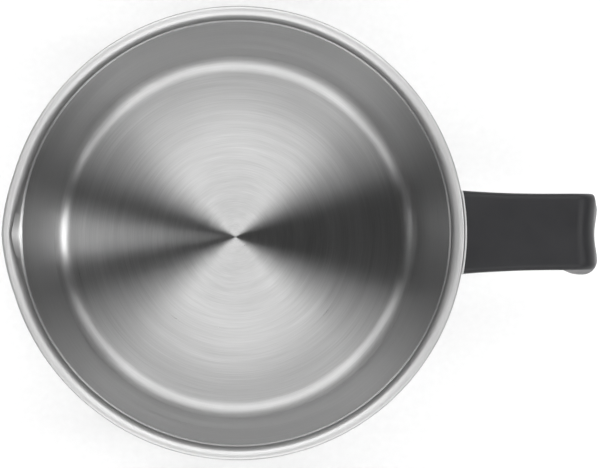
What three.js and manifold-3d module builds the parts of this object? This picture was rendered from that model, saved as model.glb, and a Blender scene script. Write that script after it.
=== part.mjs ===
// Candle melting pot: a double-walled pouring pot with a moulded handle.
// The jacket's filler tube runs through the handle's arm and is closed by a pull-out whistle plug.
//
// Millimetres, +Z up. The origin is on the pot's axis, at the face that it stands on.
// The handle points along +X and the pouring lip along -X.

import * as THREE from 'three';
import { mergeVertices } from 'three/addons/utils/BufferGeometryUtils.js';
import { LoftGeometry } from 'three/addons/geometries/LoftGeometry.js';
import Module from 'manifold-3d';

const wasm = await Module();
wasm.setup();

// ---- driving dimensions ----

const GAP = 0.3;                  // clearance drawn between pieces that touch
const FACET_ALLOWANCE = 0.05;     // what the flats take off a round hollow
const ROUND_STEPS = 48;           // flats around the pot
const NUT_STEPS = 32;             // around the ring nut, the plug and their pocket
const SMALL_STEPS = 24;           // around the tube and its washers
const DISC_STEPS = 16;            // around the smallest pieces
const CUT_START = 70;             // cutters start inside the pot, at this distance from its axis,
const WALL_CUT_END = 100;         // and end behind its wall
const BACK_CUT_END = 160;         // or behind the handle

// pot
const HEIGHT = 130;               // standing face to the top of the rim
const RIM_RADIUS = 85;            // outside of the rim and of the jacket
const SHEET = 0.8;                // liner sheet thickness
const JACKET_SHEET = 0.7;         // jacket sheet thickness
const BOWL_DEPTH = 110;
const FLOOR_RADIUS = 71;          // flat part of the bowl's floor
const CORNER_RADIUS = 6.5;        // inside corner between floor and wall
const CREASE_RADIUS = 79.7;       // inside wall at the step below the rim
const CREASE_DROP = 6;            // step below the top of the rim
const STEP_WIDTH = 0.6;
const STEP_HEIGHT = 0.6;          // height over which the wall steps out
const FLARE_RADIUS = 3.5;         // the rim's inside curve
const FLARE_CENTRE = 83.9;        // radius at which that curve meets the rim's top
const EDGE_RADIUS = 1;            // the rim's outside curve
const HEM_DROP = 5;               // the turned-down hem's lower edge, below the rim
const SHELL_CORNER_RADIUS = 9;    // jacket's bottom corner
const SHELL_NECK_RADIUS = 83.8;   // jacket's top edge, outside, where it is tucked into the hem
const SHELL_NECK_DROP = 1.7;      // jacket's top edge below the rim

// pouring lip
const LIP_BULGE = 2.1;            // wide swelling of the rim towards the lip
const LIP_BULGE_ANGLE = 28;       // degrees, its spread
const LIP_FOLD = 1.4;             // extra reach of the V fold
const LIP_FOLD_ANGLE = 15;        // degrees, half-width of the V
const LIP_DEPTH = 30;             // the swelling starts this far below the rim
const LIP_CURVE = 3.6;            // how sharply it gathers towards the rim

// base
const CAP_RADIUS = 72;
const CAP_SHEET = 0.6;
const CAP_CORNER = 2;
const BASE_HEIGHT = 4.9;          // standing face to the top of the spreading disc

// handle
const ARM_TOP_DROP = 2.3;         // arm's top below the rim
const ARM_DEPTH = 25.7;
const ARM_HALF_WIDTH = 14.4;
const ROOT_FLARE = 1.2;           // the arm widens by this at the pot, on each side
const ROOT_FLARE_END = 118;       // where the widening starts, from the pot's axis
const BEND_X = 126.8;             // where the arm's top starts to curve down
const BEND_RADIUS = 9;
const LEAN = THREE.MathUtils.degToRad(11.8);   // grip's lean away from the pot
const GRIP_THICKNESS = 16;
const FINGER_RADIUS = 9;          // inside curve between arm and grip
const GRIP_END_DROP = 90;         // start of the grip's rounded end, at its back, below the rim
const GRIP_END_RADIUS = 6;
const GRIP_SWELL = 2.25;          // the grip widens by this on each side
const BACK_HOLLOW = 1.1;          // hollow across the grip's back
const TOP_EDGE_RADIUS = 2.4;
const UNDER_EDGE_RADIUS = 5;
const BACK_EDGE_RADIUS = 6;
const FRONT_EDGE_RADIUS = 9;

// saddle plate between jacket and handle
const SADDLE_SHEET = 0.6;
const SADDLE_CORNER = 4;
const STUD_START = RIM_RADIUS + 0.8;
const STUD_RADIUS = 1.9;
const STUD_OFFSET = 10.6;
const STUD_LENGTH = 7.2;

// filler tube and what closes it, along X
const TUBE_Z = HEIGHT - 19;
const TUBE_RADIUS = 6;
const TUBE_BORE = 5.3;
const TUBE_START = 82;
const TUBE_END = 127.1;
const POCKET_RADIUS = 8.4;        // pocket in the handle's back
const POCKET_FLOOR = 123.8;
const NUT_RADIUS = 8;
const WASHER_SHEET = 0.6;
const NUT_START = POCKET_FLOOR + GAP + WASHER_SHEET + GAP;
const NUT_SHOULDER = 128.2;
const NUT_END = 129.6;
const NOTCH_WIDTH = 1.6;          // spanner notches across the nut's end
const NOTCH_DEPTH = 0.6;
const GASKET_SHEET = 0.5;
const GASKET_BORE = 5.4;

// whistle plug
const PLUG_START = 112;
const PLUG_STEM_RADIUS = 4.6;
const PLUG_HEAD_RADIUS = 7.9;
const PLUG_BLANK_END = 145;       // the head is turned this long, then cut to the handle's shape
const PLUG_BORE = 3;
const PLUG_BORE_END = 119.4;
const STEAM_RADIUS = 1;
const SEAL_RADIUS = 0.5;          // O-ring section
const SEAL_RING_RADIUS = 4.5;     // the ring's radius, at the middle of its section
const SEAL_GROOVE_DEPTH = 0.9;
const SEAL_CENTRES = [115.8, 121.8];
const RIB_WIDTH = 4.3;
const RIB_LENGTH = 2 * PLUG_HEAD_RADIUS;
const RIB_HEIGHT = 0.3;           // above the handle's back
const RIB_ROOT = 4;               // below it, inside the head
const SLOT_WIDTH = 2.3;
const SLOT_LENGTH = 10.4;
const SLOT_DEPTH = 3;
const DISC_RADIUS = PLUG_BORE - GAP;
const DISC_SHEET = 0.6;
const DISC_HOLE = 0.7;
const DISC_WALL = 0.6;            // wall of the spacer and the retainer
const SPACER_LENGTH = 1.8;
const RETAINER_LENGTH = 1;

// ---- materials ----

const steel = new THREE.MeshStandardMaterial({ color: 0xc9c9c7, roughness: 0.3, metalness: 1 });
const outsideSteel = new THREE.MeshStandardMaterial({ color: 0xc6c6c4, roughness: 0.34, metalness: 1 });
const baseSteel = new THREE.MeshStandardMaterial({ color: 0xb9b9b8, roughness: 0.38, metalness: 1 });
const aluminium = new THREE.MeshStandardMaterial({ color: 0xb8babc, roughness: 0.45, metalness: 1 });
const turnedSteel = new THREE.MeshStandardMaterial({ color: 0xd0d0ce, roughness: 0.2, metalness: 1 });
const blackPlastic = new THREE.MeshStandardMaterial({ color: 0x2b2b2c, roughness: 0.48, metalness: 0 });
const plugPlastic = new THREE.MeshStandardMaterial({ color: 0x29292a, roughness: 0.42, metalness: 0 });
const silicone = new THREE.MeshStandardMaterial({ color: 0x8d3a2c, roughness: 0.6, metalness: 0 });

// ---- helpers ----

const model = new THREE.Group();

function add(name, geometry, material) {
  const mesh = new THREE.Mesh(geometry, material);
  mesh.name = name;
  model.add(mesh);
}

function toSolid(geometry) {
  const bare = new THREE.BufferGeometry().copy(geometry);
  bare.deleteAttribute('normal');
  bare.deleteAttribute('uv');
  const welded = mergeVertices(bare, 1e-4);
  const index = welded.index.array;
  const corners = [];
  for (let i = 0; i < index.length; i += 3) {
    const [a, b, c] = index.slice(i, i + 3);
    if (a !== b && b !== c && c !== a) corners.push(a, b, c);
  }
  const vertProperties = new Float32Array(welded.attributes.position.array);
  return new wasm.Manifold(new wasm.Mesh({ numProp: 3, vertProperties, triVerts: new Uint32Array(corners) }));
}

function toGeometry(solid) {
  const mesh = solid.getMesh();
  const geometry = new THREE.BufferGeometry();
  geometry.setAttribute('position', new THREE.BufferAttribute(mesh.vertProperties, 3));
  geometry.setIndex(new THREE.BufferAttribute(mesh.triVerts, 1));
  geometry.computeVertexNormals();
  return geometry;
}

// points on an arc in a (radius, height) plane, angles in degrees
function arc(centreRadius, centreHeight, radius, from, to, steps) {
  const points = [];
  for (let i = 0; i <= steps; i++) {
    const angle = THREE.MathUtils.degToRad(from + (to - from) * i / steps);
    points.push([centreRadius + radius * Math.cos(angle), centreHeight + radius * Math.sin(angle)]);
  }
  return points;
}

// profile of [radius, height] turned about Z, anticlockwise with the axis at the left
function turnedUpright(profile, steps = ROUND_STEPS) {
  const points = profile.map(([radius, height]) => new THREE.Vector2(radius, height));
  return new THREE.LatheGeometry(points, steps).rotateX(Math.PI / 2);
}

// the same about the filler tube's axis, with the height along +X
function turnedAlongTube(profile, steps = SMALL_STEPS) {
  const points = profile.map(([radius, height]) => new THREE.Vector2(radius, height));
  return new THREE.LatheGeometry(points, steps).rotateZ(-Math.PI / 2).translate(0, 0, TUBE_Z);
}

function ring(innerRadius, outerRadius, start, end, steps = SMALL_STEPS) {
  return turnedAlongTube([
    [innerRadius, start],
    [outerRadius, start],
    [outerRadius, end],
    [innerRadius, end],
    [innerRadius, start],
  ], steps);
}

// a cylinder along X for cutting
function rod(radius, start, end, y = 0, steps = SMALL_STEPS) {
  const geometry = new THREE.CylinderGeometry(radius, radius, end - start, steps);
  return toSolid(geometry.rotateZ(-Math.PI / 2).translate((start + end) / 2, y, TUBE_Z));
}

// ---- pouring lip ----

// moves a turned sheet outwards at the lip
// shares(radius, z) gives how much of the wide swelling and of the V fold a point takes
function formLip(geometry, shares) {
  const position = geometry.attributes.position;
  for (let i = 0; i < position.count; i++) {
    const [x, y, z] = [position.getX(i), position.getY(i), position.getZ(i)];
    const radius = Math.hypot(x, y);
    if (radius < FLOOR_RADIUS) continue;
    const angle = THREE.MathUtils.radToDeg(Math.atan2(y, -x));
    const swelling = LIP_BULGE * Math.exp(-0.5 * (angle / LIP_BULGE_ANGLE) ** 2);
    const fold = LIP_FOLD * Math.max(0, 1 - Math.abs(angle) / LIP_FOLD_ANGLE);
    const [swellShare, foldShare] = shares(radius, z);
    const grown = 1 + (swelling * swellShare + fold * foldShare) / radius;
    position.setXY(i, x * grown, y * grown);
  }
  return geometry;
}

// ---- pot ----

function innerBowl() {
  const floor = HEIGHT - BOWL_DEPTH;
  const crease = HEIGHT - CREASE_DROP;
  const cornerHeight = floor + CORNER_RADIUS;
  const stepHalf = STEP_HEIGHT / 2;
  const flareHeight = HEIGHT - FLARE_RADIUS;
  const hem = HEIGHT - HEM_DROP;
  const lipStart = HEIGHT - LIP_DEPTH;
  const wallTop = [CREASE_RADIUS, crease];
  const wallFoot = [FLOOR_RADIUS + CORNER_RADIUS, cornerHeight];
  const wallHeights = [0, 0.4, 0.75].map((share) => lipStart + (crease - lipStart) * share);
  const wall = wallHeights.map((z) => {
    const rise = (z - wallFoot[1]) / (wallTop[1] - wallFoot[1]);
    return [wallFoot[0] + (wallTop[0] - wallFoot[0]) * rise, z];
  });
  const profile = [
    [0, floor - SHEET],
    ...arc(FLOOR_RADIUS, cornerHeight, CORNER_RADIUS + SHEET, -90, 0, 4),
    ...wall.map(([radius, z]) => [radius + SHEET, z]),
    [CREASE_RADIUS + SHEET, crease - stepHalf],
    [CREASE_RADIUS + STEP_WIDTH + SHEET, crease + stepHalf],
    ...arc(FLARE_CENTRE, flareHeight, FLARE_RADIUS - SHEET, 180, 90, 3),
    [RIM_RADIUS - SHEET, HEIGHT - SHEET - EDGE_RADIUS / 2],
    [RIM_RADIUS - SHEET, hem],
    [RIM_RADIUS, hem],
    ...arc(RIM_RADIUS - EDGE_RADIUS, HEIGHT - EDGE_RADIUS, EDGE_RADIUS, 0, 90, 3),
    ...arc(FLARE_CENTRE, flareHeight, FLARE_RADIUS, 90, 180, 4),
    [CREASE_RADIUS + STEP_WIDTH, crease + STEP_HEIGHT],
    wallTop,
    ...wall.toReversed(),
    ...arc(FLOOR_RADIUS, cornerHeight, CORNER_RADIUS, 0, -90, 5),
    [0, floor],
  ];
  const shares = (radius, z) => {
    if (radius > FLARE_CENTRE) return [1, 1];
    const raised = THREE.MathUtils.clamp((z - lipStart) / (flareHeight - lipStart), 0, 1);
    const folded = THREE.MathUtils.smoothstep(z, crease, flareHeight);
    return [raised ** LIP_CURVE, folded];
  };
  return formLip(turnedUpright(profile), shares);
}

function outerShell() {
  const bottom = BASE_HEIGHT + GAP;
  const shoulder = HEIGHT - CREASE_DROP;
  const neckTop = HEIGHT - SHELL_NECK_DROP;
  const lipStart = HEIGHT - LIP_DEPTH;
  const cornerCentre = RIM_RADIUS - SHELL_CORNER_RADIUS;
  const cornerHeight = bottom + SHELL_CORNER_RADIUS;
  const inside = RIM_RADIUS - JACKET_SHEET;
  const neckInside = SHELL_NECK_RADIUS - JACKET_SHEET;
  const lipHeights = [0.35, 0.7].map((share) => lipStart + (shoulder - lipStart) * share);
  const profile = [
    [0, bottom],
    ...arc(cornerCentre, cornerHeight, SHELL_CORNER_RADIUS, -90, 0, 5),
    [RIM_RADIUS, lipStart],
    ...lipHeights.map((z) => [RIM_RADIUS, z]),
    [RIM_RADIUS, shoulder],
    [SHELL_NECK_RADIUS, shoulder + STEP_HEIGHT],
    [SHELL_NECK_RADIUS, neckTop],
    [neckInside, neckTop],
    [neckInside, shoulder + STEP_HEIGHT / 2],
    [inside, shoulder - STEP_HEIGHT / 2],
    ...lipHeights.toReversed().map((z) => [inside, z]),
    [inside, lipStart],
    ...arc(cornerCentre, cornerHeight, SHELL_CORNER_RADIUS - JACKET_SHEET, 0, -90, 5),
    [0, bottom + JACKET_SHEET],
  ];
  const shares = (radius, z) => {
    const share = THREE.MathUtils.smoothstep(z, lipStart, shoulder);
    return [share, share];
  };
  const shell = toSolid(formLip(turnedUpright(profile), shares));
  return toGeometry(shell.subtract(rod(TUBE_RADIUS + GAP, CUT_START, WALL_CUT_END)));
}

function baseCap() {
  const inner = CAP_RADIUS - CAP_SHEET;
  return turnedUpright([
    [0, 0],
    ...arc(CAP_RADIUS - CAP_CORNER, CAP_CORNER, CAP_CORNER, -90, 0, 2),
    [CAP_RADIUS, BASE_HEIGHT],
    [inner, BASE_HEIGHT],
    ...arc(CAP_RADIUS - CAP_CORNER, CAP_CORNER, CAP_CORNER - CAP_SHEET, 0, -90, 2),
    [0, CAP_SHEET],
  ]);
}

function baseCore() {
  const radius = CAP_RADIUS - CAP_SHEET - GAP;
  const corner = CAP_CORNER - CAP_SHEET - GAP;
  const centre = CAP_RADIUS - CAP_CORNER;
  return turnedUpright([
    [0, CAP_SHEET + GAP],
    ...arc(centre, CAP_CORNER, corner, -90, 0, 2),
    [radius, BASE_HEIGHT],
    [0, BASE_HEIGHT],
  ]);
}

// ---- handle ----

// the handle's side view as matching stretches along its outside and its inside
function handleRuns() {
  const top = HEIGHT - ARM_TOP_DROP;
  const under = top - ARM_DEPTH;
  const start = RIM_RADIUS - 2;
  const backFoot = HEIGHT - GRIP_END_DROP;
  const slope = Math.tan(LEAN);

  const bendEndX = BEND_X + BEND_RADIUS * Math.cos(LEAN);
  const bendEndZ = top - BEND_RADIUS + BEND_RADIUS * Math.sin(LEAN);
  const backFootX = bendEndX + (bendEndZ - backFoot) * slope;
  const outside = new THREE.Path();
  outside.moveTo(start, top);
  outside.lineTo(BEND_X, top);
  outside.absarc(BEND_X, top - BEND_RADIUS, BEND_RADIUS, Math.PI / 2, LEAN, true);
  outside.lineTo(backFootX, backFoot);

  const frontFootX = backFootX - GRIP_THICKNESS * Math.cos(LEAN);
  const frontFoot = backFoot - GRIP_THICKNESS * Math.sin(LEAN);
  const fingerEndZ = under - FINGER_RADIUS + FINGER_RADIUS * Math.sin(LEAN);
  const fingerEndX = frontFootX - (fingerEndZ - frontFoot) * slope;
  const fingerX = fingerEndX - FINGER_RADIUS * Math.cos(LEAN);
  const inside = new THREE.Path();
  inside.moveTo(start, under);
  inside.lineTo(fingerX, under);
  inside.absarc(fingerX, under - FINGER_RADIUS, FINGER_RADIUS, Math.PI / 2, LEAN, true);
  inside.lineTo(frontFootX, frontFoot);
  return { outside, inside };
}

// half a rounded section in (depth, width), from the middle of its outside to the middle of its inside
function halfSection(thickness, halfWidth, hollow, outerRadius, innerRadius) {
  const flat = halfWidth - outerRadius;
  const points = [[hollow, 0], [hollow / 2, flat / 2]];
  points.push(...arc(outerRadius, flat, outerRadius, 180, 90, 3));
  points.push(...arc(thickness - innerRadius, halfWidth - innerRadius, innerRadius, 90, 0, 3));
  points.push([thickness, 0]);
  return points;
}

// a full section as 3-D points, between a point on the outside and one on the inside
function handleSection(outer, inner, halfWidth, hollow, outerRadius, innerRadius) {
  const thickness = outer.distanceTo(inner);
  const along = inner.clone().sub(outer).divideScalar(thickness);
  const half = halfSection(thickness, halfWidth, hollow, outerRadius, innerRadius);
  const other = half.slice(1, -1).reverse().map(([depth, width]) => [depth, -width]);
  return half.concat(other).map(([depth, width]) => (
    new THREE.Vector3(outer.x + along.x * depth, width, outer.y + along.y * depth)
  ));
}

function handleBlank() {
  const { outside, inside } = handleRuns();
  const sections = [];
  const stretches = [5, 5, 8];
  stretches.forEach((steps, stretch) => {
    const isLast = stretch === stretches.length - 1;
    for (let i = 0; i < steps + (isLast ? 1 : 0); i++) {
      const outer = outside.curves[stretch].getPoint(i / steps);
      const inner = inside.curves[stretch].getPoint(i / steps);
      const grip = isLast ? i / steps : 0;
      const bend = stretch === 1 ? i / steps : (isLast ? 1 : 0);
      const swell = THREE.MathUtils.smoothstep(grip, 0.1, 0.8);
      const flare = Math.max(0, (ROOT_FLARE_END - outer.x) / (ROOT_FLARE_END - RIM_RADIUS - 1));
      const halfWidth = ARM_HALF_WIDTH + ROOT_FLARE * flare ** 2 + GRIP_SWELL * swell;
      const hollow = BACK_HOLLOW * bend;
      const outerRadius = THREE.MathUtils.lerp(TOP_EDGE_RADIUS, BACK_EDGE_RADIUS, swell);
      const innerRadius = THREE.MathUtils.lerp(UNDER_EDGE_RADIUS, FRONT_EDGE_RADIUS, swell);
      sections.push(handleSection(outer, inner, halfWidth, hollow, outerRadius, innerRadius));
    }
  });
  const outer = outside.curves[2].getPoint(1);
  const inner = inside.curves[2].getPoint(1);
  const down = new THREE.Vector2(Math.sin(LEAN), -Math.cos(LEAN));
  const inwards = inner.clone().sub(outer).normalize();
  for (const angle of [30, 60, 85]) {
    const turn = THREE.MathUtils.degToRad(angle);
    const inset = GRIP_END_RADIUS * (1 - Math.cos(turn));
    const drop = down.clone().multiplyScalar(GRIP_END_RADIUS * Math.sin(turn));
    const back = outer.clone().add(drop).addScaledVector(inwards, inset);
    const front = inner.clone().add(drop).addScaledVector(inwards, -inset);
    const halfWidth = ARM_HALF_WIDTH + GRIP_SWELL - inset;
    const shrink = 1 - inset / (GRIP_THICKNESS / 2);
    const hollow = BACK_HOLLOW * Math.cos(turn);
    const outerRadius = BACK_EDGE_RADIUS * shrink;
    const innerRadius = FRONT_EDGE_RADIUS * shrink;
    sections.push(handleSection(back, front, halfWidth, hollow, outerRadius, innerRadius));
  }
  sections.forEach((points) => points.reverse());
  return toSolid(new LoftGeometry(sections, { capStart: true, capEnd: true }));
}

function handleBody(blank) {
  const potSide = new THREE.CylinderGeometry(1, 1, HEIGHT, 2 * ROUND_STEPS).rotateX(Math.PI / 2);
  const handleFront = RIM_RADIUS + GAP + SADDLE_SHEET + GAP + FACET_ALLOWANCE;
  const clearance = toSolid(potSide.scale(handleFront, handleFront, 1).translate(0, 0, TUBE_Z));
  let solid = blank.subtract(clearance);
  solid = solid.subtract(rod(TUBE_RADIUS + GAP, CUT_START, POCKET_FLOOR + GAP));
  solid = solid.subtract(rod(POCKET_RADIUS, POCKET_FLOOR, BACK_CUT_END, 0, NUT_STEPS));
  const studEnd = STUD_START + STUD_LENGTH;
  for (const offset of [-STUD_OFFSET, STUD_OFFSET]) {
    solid = solid.subtract(rod(STUD_RADIUS + GAP, CUT_START, studEnd + GAP, offset, DISC_STEPS));
  }
  return toGeometry(solid);
}

// a sheet wrapped round the jacket, cut to the outline of the arm's end
function saddlePlate() {
  const inner = RIM_RADIUS + GAP;
  const halfWidth = ARM_HALF_WIDTH + ROOT_FLARE;
  const wrapAngle = Math.asin(halfWidth / inner) + THREE.MathUtils.degToRad(1);
  const band = new THREE.Shape();
  band.absarc(0, 0, inner + SADDLE_SHEET, -wrapAngle, wrapAngle, false);
  band.absarc(0, 0, inner, wrapAngle, -wrapAngle, true);
  const wrap = new THREE.ExtrudeGeometry(band, { depth: HEIGHT, bevelEnabled: false, curveSegments: 10 });

  const top = HEIGHT - ARM_TOP_DROP;
  const cornerZ = top - ARM_DEPTH + SADDLE_CORNER;
  const cornerY = halfWidth - SADDLE_CORNER;
  const outline = new THREE.Shape();
  outline.moveTo(halfWidth, top);
  outline.lineTo(-halfWidth, top);
  outline.absarc(-cornerY, cornerZ, SADDLE_CORNER, Math.PI, 1.5 * Math.PI);
  outline.absarc(cornerY, cornerZ, SADDLE_CORNER, 1.5 * Math.PI, 0);
  const depth = WALL_CUT_END - CUT_START;
  const punch = new THREE.ExtrudeGeometry(outline, { depth, bevelEnabled: false, curveSegments: 4 });
  punch.rotateX(Math.PI / 2).rotateZ(Math.PI / 2).translate(CUT_START, 0, 0);
  const plate = toSolid(wrap).intersect(toSolid(punch));
  return toGeometry(plate.subtract(rod(TUBE_RADIUS + GAP, CUT_START, WALL_CUT_END)));
}

function locatingStud(offset) {
  const geometry = new THREE.CylinderGeometry(STUD_RADIUS, STUD_RADIUS, STUD_LENGTH, DISC_STEPS);
  return geometry.rotateZ(-Math.PI / 2).translate(STUD_START + STUD_LENGTH / 2, offset, TUBE_Z);
}

// ---- filler tube's end ----

function seatRing() {
  const profile = [
    [TUBE_RADIUS + GAP, NUT_START],
    [NUT_RADIUS, NUT_START],
    [NUT_RADIUS, NUT_END],
    [TUBE_BORE, NUT_END],
    [TUBE_BORE, NUT_SHOULDER],
    [TUBE_RADIUS + GAP, NUT_SHOULDER],
    [TUBE_RADIUS + GAP, NUT_START],
  ];
  const notch = new THREE.BoxGeometry(2 * NOTCH_DEPTH, 3 * NUT_RADIUS, NOTCH_WIDTH);
  const nut = toSolid(turnedAlongTube(profile, NUT_STEPS));
  return toGeometry(nut.subtract(toSolid(notch.translate(NUT_END, 0, TUBE_Z))));
}

// ---- whistle plug ----

// turns a shape drawn about the origin to lie along the handle's back, at the tube's axis
function ontoBack(geometry) {
  const backX = BEND_X + BEND_RADIUS * Math.cos(LEAN) - BACK_HOLLOW
    + (HEIGHT - ARM_TOP_DROP - BEND_RADIUS * (1 - Math.sin(LEAN)) - TUBE_Z) * Math.tan(LEAN);
  return geometry.rotateY(-LEAN).translate(backX, 0, TUBE_Z);
}

function plugBody(blank) {
  const grooveHalf = SEAL_RADIUS + GAP;
  const grooveFloor = PLUG_STEM_RADIUS - SEAL_GROOVE_DEPTH;
  const headStart = NUT_END + GAP;
  const grooves = SEAL_CENTRES.flatMap((centre) => [
    [PLUG_STEM_RADIUS, centre - grooveHalf],
    [grooveFloor, centre - grooveHalf],
    [grooveFloor, centre + grooveHalf],
    [PLUG_STEM_RADIUS, centre + grooveHalf],
  ]);
  const profile = [
    [PLUG_BORE, PLUG_START],
    [PLUG_STEM_RADIUS, PLUG_START],
    ...grooves,
    [PLUG_STEM_RADIUS, headStart],
    [PLUG_HEAD_RADIUS, headStart],
    [PLUG_HEAD_RADIUS, PLUG_BLANK_END],
    [STEAM_RADIUS, PLUG_BLANK_END],
    [STEAM_RADIUS, PLUG_BORE_END],
    [PLUG_BORE, PLUG_BORE_END],
    [PLUG_BORE, PLUG_START],
  ];
  const rib = new THREE.BoxGeometry(RIB_HEIGHT + RIB_ROOT, RIB_WIDTH, RIB_LENGTH);
  rib.translate((RIB_HEIGHT - RIB_ROOT) / 2, 0, 0);
  const shape = blank.add(toSolid(ontoBack(rib)));
  let solid = toSolid(turnedAlongTube(profile, NUT_STEPS)).intersect(shape);
  for (const side of [-1, 1]) {
    const slot = new THREE.BoxGeometry(2 * SLOT_DEPTH, SLOT_WIDTH, SLOT_LENGTH);
    slot.translate(0, side * (RIB_WIDTH + SLOT_WIDTH) / 2, 0);
    solid = solid.subtract(toSolid(ontoBack(slot)));
  }
  return toGeometry(solid);
}

function plugSeal(centre) {
  const profile = arc(SEAL_RING_RADIUS, centre, SEAL_RADIUS, 0, 360, 6);
  return turnedAlongTube(profile, DISC_STEPS);
}

// ---- assembly ----

const blank = handleBlank();

add('inner_bowl', innerBowl(), steel);
add('outer_shell', outerShell(), outsideSteel);
add('base_core', baseCore(), aluminium);
add('base_cap', baseCap(), baseSteel);

add('saddle_plate', saddlePlate(), turnedSteel);
add('locating_stud_left', locatingStud(STUD_OFFSET), turnedSteel);
add('locating_stud_right', locatingStud(-STUD_OFFSET), turnedSteel);
add('handle_body', handleBody(blank), blackPlastic);

add('filler_tube', ring(TUBE_BORE, TUBE_RADIUS, TUBE_START, TUBE_END), turnedSteel);
const washerStart = POCKET_FLOOR + GAP;
add('seat_washer', ring(TUBE_RADIUS + GAP, NUT_RADIUS, washerStart, washerStart + WASHER_SHEET), turnedSteel);
add('seat_ring', seatRing(), turnedSteel);
const gasketStart = TUBE_END + GAP;
add('tube_gasket', ring(GASKET_BORE, TUBE_RADIUS, gasketStart, gasketStart + GASKET_SHEET), silicone);

add('plug_body', plugBody(blank), plugPlastic);
add('plug_seal_inner', plugSeal(SEAL_CENTRES[0]), silicone);
add('plug_seal_outer', plugSeal(SEAL_CENTRES[1]), silicone);

// the whistle, from the bore's end towards the pot: a holed plate, a spacer, a holed plate and a retainer
let stackEnd = PLUG_BORE_END;
for (const [name, bore, length] of [
  ['whistle_outer_plate', DISC_HOLE, DISC_SHEET],
  ['whistle_spacer', DISC_RADIUS - DISC_WALL, SPACER_LENGTH],
  ['whistle_inner_plate', DISC_HOLE, DISC_SHEET],
  ['whistle_retainer', DISC_RADIUS - DISC_WALL, RETAINER_LENGTH],
]) {
  const end = stackEnd - GAP;
  add(name, ring(bore, DISC_RADIUS, end - length, end, DISC_STEPS), turnedSteel);
  stackEnd = end - length;
}

export default model;
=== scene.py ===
import math

import bmesh
import bpy
from mathutils import Matrix, Vector


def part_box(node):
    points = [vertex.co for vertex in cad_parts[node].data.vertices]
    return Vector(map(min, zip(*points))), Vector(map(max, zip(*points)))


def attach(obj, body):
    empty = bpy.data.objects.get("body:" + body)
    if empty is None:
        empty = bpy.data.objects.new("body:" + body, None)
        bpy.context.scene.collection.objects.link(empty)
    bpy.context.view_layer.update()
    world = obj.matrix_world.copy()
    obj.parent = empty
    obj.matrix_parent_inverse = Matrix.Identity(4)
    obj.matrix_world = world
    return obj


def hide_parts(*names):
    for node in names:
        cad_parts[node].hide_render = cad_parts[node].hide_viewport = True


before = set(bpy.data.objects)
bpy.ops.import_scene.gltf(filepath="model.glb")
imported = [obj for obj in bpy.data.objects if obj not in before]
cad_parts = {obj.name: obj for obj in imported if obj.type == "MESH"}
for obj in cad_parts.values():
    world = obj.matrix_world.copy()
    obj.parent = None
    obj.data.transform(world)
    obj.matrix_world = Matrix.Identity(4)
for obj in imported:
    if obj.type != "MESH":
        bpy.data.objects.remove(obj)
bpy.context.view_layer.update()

# Candle melting pot: a double-walled pouring pot with a moulded handle and a whistle plug.
# Shapes are drawn in millimetres and made metres when a piece is finished.
# The pot stands on z = 0 about the Z axis, with the handle along +X and the pouring lip along -X.

MM = 0.001


# ---- sizes read from the frame ----

def corners(node):
    """Lowest and highest corner of a node, in millimetres."""
    low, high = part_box(node)
    return low / MM, high / MM


LINER_LOW, LINER_HIGH = corners("inner_bowl")
JACKET_LOW = corners("outer_shell")[0]
CAP_HIGH = corners("base_cap")[1]
ARM_HIGH = corners("handle_body")[1]
SADDLE_LOW, SADDLE_HIGH = corners("saddle_plate")
TUBE_LOW, TUBE_HIGH = corners("filler_tube")
WASHER_LOW, WASHER_HIGH = corners("seat_washer")
NUT_LOW, NUT_HIGH = corners("seat_ring")
GASKET_LOW, GASKET_HIGH = corners("tube_gasket")
PLUG_LOW = corners("plug_body")[0]

TOP = LINER_HIGH.z
RIM_RADIUS = LINER_HIGH.x
TUBE_Z = (TUBE_LOW.z + TUBE_HIGH.z) / 2
TUBE_RADIUS = (TUBE_HIGH.z - TUBE_LOW.z) / 2

# ---- sizes of the finer shapes, in millimetres ----

AROUND_POT = 288                 # flats around the pot
AROUND_FITTING = 64              # flats around the tube, the nut and the plug
WASHER_STEPS = 2                 # segments of a washer's edge
MERGED, MERGED_CUT = 0.001, 0.002   # points closer than this are one

CLEARANCE = 0.3                  # between fitted pieces
BROKEN = 0.2                     # fillet of a cut sheet's edge
SHEET = 0.8                      # liner
FLOOR_Z = LINER_LOW.z + SHEET
WALL_FOOT = 77.9                 # inside wall where it would meet the floor
FLOOR_FILLET = 7.2
CREASE = 79.7                    # inside wall at the step below the rim
CREASE_Z = TOP - 6
STEP = 0.65                      # the step's width and height
FLARE_FILLET = 3.5
FLARE_CENTRE = 83.9
FLARE_FOOT_Z = TOP - FLARE_FILLET
FLARE_DRAFT = 0.05               # how far the neck opens before the flare
RIM_FILLET = 1.0
RIM_INNER_FILLET = 0.4
STEP_FILLET = 0.3
HEM_Z = TOP - 5                  # the hem's lower edge
PRESSED = 0.35                   # fillet of a pressed crease
PRESSED_STEPS = 8                # segments of a fillet in pressed sheet

JACKET_SHEET = 0.7
JACKET_FILLET = 9
NECK = 83.8                      # jacket's top edge, outside, tucked into the hem
NECK_Z = TOP - 1.7
NECK_SET = 0.3                   # how steeply the neck is set in below the hem
NECK_FILLET = 0.3

LIP_BULGE = 2.1                  # wide swelling towards the lip
LIP_BULGE_ANGLE = 28             # degrees
LIP_FOLD = 1.4                   # extra reach of the V fold
LIP_FOLD_ANGLE = 15              # degrees
LIP_FACET = 1.3                  # further reach of the two facets below the flare
LIP_FACET_ANGLE = 9              # degrees
LIP_START_Z = TOP - 30
LIP_BANDS_END_Z = CREASE_Z - 1
LIP_CURVE = 3.6                  # power by which the swelling grows up the wall
WALL_BANDS, JACKET_BANDS = 10, 8   # bands of the walls, so that they can follow the lip

CAP_SHEET = 0.6
CAP_CORNER = 2
CAP_STEPS = 6

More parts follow.
